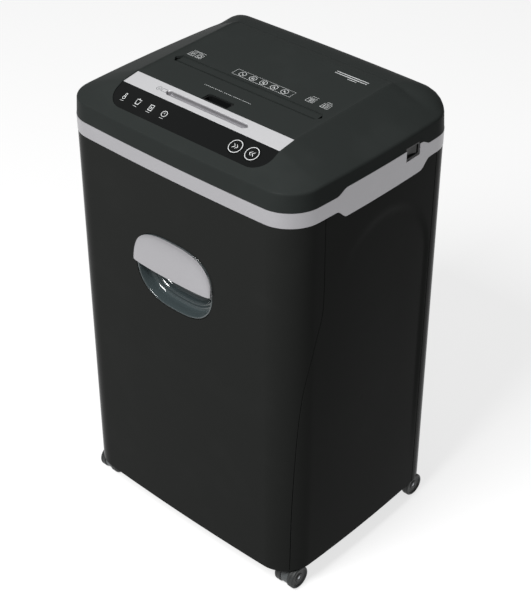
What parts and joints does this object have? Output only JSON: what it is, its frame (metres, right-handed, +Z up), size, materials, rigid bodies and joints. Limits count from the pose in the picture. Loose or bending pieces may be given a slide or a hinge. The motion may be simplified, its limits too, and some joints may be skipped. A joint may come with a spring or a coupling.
{
  "type": "paper shredder",
  "caption": "Free-standing paper shredder with sheet and disc slots, sloped control panel, pull-out bin with handle window, and twin-wheel casters.",
  "frame": {"origin": "on the floor, under the middle of the cabinet", "axes": "+Z up, the front with the bin door faces -Y, the right side with the power switch faces +X"},
  "size_m": [0.3906, 0.3212, 0.6497],
  "materials": {
    "cabinet_black": "semi-gloss moulded ABS, black",
    "cover_black": "satin moulded ABS, black-grey",
    "panel_gloss": "gloss black acrylic",
    "silver_lacquer": "satin silver metallic lacquer on ABS",
    "brushed_aluminium": "brushed and anodised",
    "smoke_window": "smoke grey clear polycarbonate",
    "bin_grey": "moulded polypropylene, dark grey",
    "wheel_black": "moulded nylon, black",
    "hood_grey": "moulded nylon, dark grey",
    "switch_black": "moulded nylon, black",
    "steel": "zinc-plated pressed steel",
    "tool_steel": "ground and hardened steel",
    "bronze": "sintered bronze",
    "gear_nylon": "moulded acetal, off-white",
    "board_green": "lacquered glass-fibre board",
    "clear_guide": "clear moulded acrylic"
  },
  "bodies": {
    "cabinet": {"base_plate": "cabinet_black", "left_side_panel": "cabinet_black", "right_side_panel": "cabinet_black", "rear_panel": "cabinet_black", "mains_inlet": "switch_black", "head_frame": "steel", "trim_band": "silver_lacquer", "top_cover": "cover_black", "control_panel": "panel_gloss", "deck_strip": "brushed_aluminium", "paper_throat": "cover_black", "disc_throat": "silver_lacquer", "finger_recess": "panel_gloss", "light_guide": "clear_guide", "circuit_board": "board_green", "paper_sensor": "switch_black", "door_switch": "switch_black", "switch_bezel": "switch_black", "cutter_plate_left": "steel", "cutter_plate_right": "steel", "stripper_comb_front": "hood_grey", "stripper_comb_rear": "hood_grey", "idler_pin": "steel", "motor": "steel", "tie_bar_1": "steel", "tie_bar_2": "steel", "bush_front_left": "bronze", "bush_front_right": "bronze", "bush_rear_left": "bronze", "bush_rear_right": "bronze"},
    "bin_drawer": {"front_door": "cabinet_black", "handle_shield": "silver_lacquer", "window_scoop": "smoke_window", "waste_bin": "bin_grey"},
    "power_rocker": {"switch_rocker": "switch_black"},
    "button_1": {"push_button_1": "panel_gloss"},
    "button_2": {"push_button_2": "panel_gloss"},
    "cutter_front": {"cutter_shaft_front": "tool_steel", "cutter_gear_front": "gear_nylon"},
    "cutter_rear": {"cutter_shaft_rear": "tool_steel", "cutter_gear_rear": "gear_nylon", "drive_gear": "gear_nylon"},
    "idler": {"idler_gear": "gear_nylon"},
    "motor_rotor": {"motor_pinion": "tool_steel"},
    "caster_fl": {"caster_hood_fl": "hood_grey", "caster_axle_fl": "steel"},
    "wheel_fl_l": {"wheel_fl_left": "wheel_black"},
    "wheel_fl_r": {"wheel_fl_right": "wheel_black"},
    "caster_fr": {"caster_hood_fr": "hood_grey", "caster_axle_fr": "steel"},
    "wheel_fr_l": {"wheel_fr_left": "wheel_black"},
    "wheel_fr_r": {"wheel_fr_right": "wheel_black"},
    "caster_rl": {"caster_hood_rl": "hood_grey", "caster_axle_rl": "steel"},
    "wheel_rl_l": {"wheel_rl_left": "wheel_black"},
    "wheel_rl_r": {"wheel_rl_right": "wheel_black"},
    "caster_rr": {"caster_hood_rr": "hood_grey", "caster_axle_rr": "steel"},
    "wheel_rr_l": {"wheel_rr_left": "wheel_black"},
    "wheel_rr_r": {"wheel_rr_right": "wheel_black"}
  },
  "joints": [
    {"name": "bin_slide", "type": "slide", "parent": "cabinet", "child": "bin_drawer", "axis": [0, -1, 0], "range_m": [0, 0.26]},
    {"name": "power_rock", "type": "hinge", "parent": "cabinet", "child": "power_rocker", "pos_m": [0.186, 0.0595, 0.595], "axis": [0, 0, 1], "range_deg": [0, 16]},
    {"name": "button_1_press", "type": "slide", "parent": "cabinet", "child": "button_1", "axis": [0, 0.4472, -0.8944], "range_m": [0, 0.0012], "stiffness_N_per_m": 500, "springref_m": -0.001},
    {"name": "button_2_press", "type": "slide", "parent": "cabinet", "child": "button_2", "axis": [0, 0.4472, -0.8944], "range_m": [0, 0.0012], "stiffness_N_per_m": 500, "springref_m": -0.001},
    {"name": "caster_fl_swivel", "type": "hinge", "parent": "cabinet", "child": "caster_fl", "pos_m": [-0.172, -0.113, 0.035], "axis": [0, 0, 1], "continuous": true},
    {"name": "wheel_fl_l_spin", "type": "hinge", "parent": "caster_fl", "child": "wheel_fl_l", "pos_m": [-0.172, -0.1245, 0.0165], "axis": [1, 0, 0], "continuous": true},
    {"name": "wheel_fl_r_spin", "type": "hinge", "parent": "caster_fl", "child": "wheel_fl_r", "pos_m": [-0.172, -0.1245, 0.0165], "axis": [1, 0, 0], "continuous": true},
    {"name": "caster_fr_swivel", "type": "hinge", "parent": "cabinet", "child": "caster_fr", "pos_m": [0.172, -0.113, 0.035], "axis": [0, 0, 1], "continuous": true},
    {"name": "wheel_fr_l_spin", "type": "hinge", "parent": "caster_fr", "child": "wheel_fr_l", "pos_m": [0.172, -0.1245, 0.0165], "axis": [1, 0, 0], "continuous": true},
    {"name": "wheel_fr_r_spin", "type": "hinge", "parent": "caster_fr", "child": "wheel_fr_r", "pos_m": [0.172, -0.1245, 0.0165], "axis": [1, 0, 0], "continuous": true},
    {"name": "caster_rl_swivel", "type": "hinge", "parent": "cabinet", "child": "caster_rl", "pos_m": [-0.172, 0.113, 0.035], "axis": [0, 0, 1], "continuous": true},
    {"name": "wheel_rl_l_spin", "type": "hinge", "parent": "caster_rl", "child": "wheel_rl_l", "pos_m": [-0.172, 0.1245, 0.0165], "axis": [1, 0, 0], "continuous": true},
    {"name": "wheel_rl_r_spin", "type": "hinge", "parent": "caster_rl", "child": "wheel_rl_r", "pos_m": [-0.172, 0.1245, 0.0165], "axis": [1, 0, 0], "continuous": true},
    {"name": "caster_rr_swivel", "type": "hinge", "parent": "cabinet", "child": "caster_rr", "pos_m": [0.172, 0.113, 0.035], "axis": [0, 0, 1], "continuous": true},
    {"name": "wheel_rr_l_spin", "type": "hinge", "parent": "caster_rr", "child": "wheel_rr_l", "pos_m": [0.172, 0.1245, 0.0165], "axis": [1, 0, 0], "continuous": true},
    {"name": "wheel_rr_r_spin", "type": "hinge", "parent": "caster_rr", "child": "wheel_rr_r", "pos_m": [0.172, 0.1245, 0.0165], "axis": [1, 0, 0], "continuous": true},
    {"name": "cutter_front_spin", "type": "hinge", "parent": "cabinet", "child": "cutter_front", "pos_m": [0, -0.045, 0.545], "axis": [1, 0, 0], "continuous": true},
    {"name": "cutter_rear_spin", "type": "hinge", "parent": "cabinet", "child": "cutter_rear", "pos_m": [0, -0.011, 0.545], "axis": [1, 0, 0], "continuous": true},
    {"name": "idler_spin", "type": "hinge", "parent": "cabinet", "child": "idler", "pos_m": [0, 0.03299, 0.5258], "axis": [1, 0, 0], "continuous": true},
    {"name": "motor_spin", "type": "hinge", "parent": "cabinet", "child": "motor_rotor", "pos_m": [0, 0.07601, 0.5471], "axis": [1, 0, 0], "continuous": true}
  ],
  "couplings": [
    {"joint": "cutter_rear_spin", "follows": "cutter_front_spin", "ratio": -1},
    {"joint": "idler_spin", "follows": "cutter_front_spin", "ratio": 3},
    {"joint": "motor_spin", "follows": "cutter_front_spin", "ratio": -9}
  ]
}
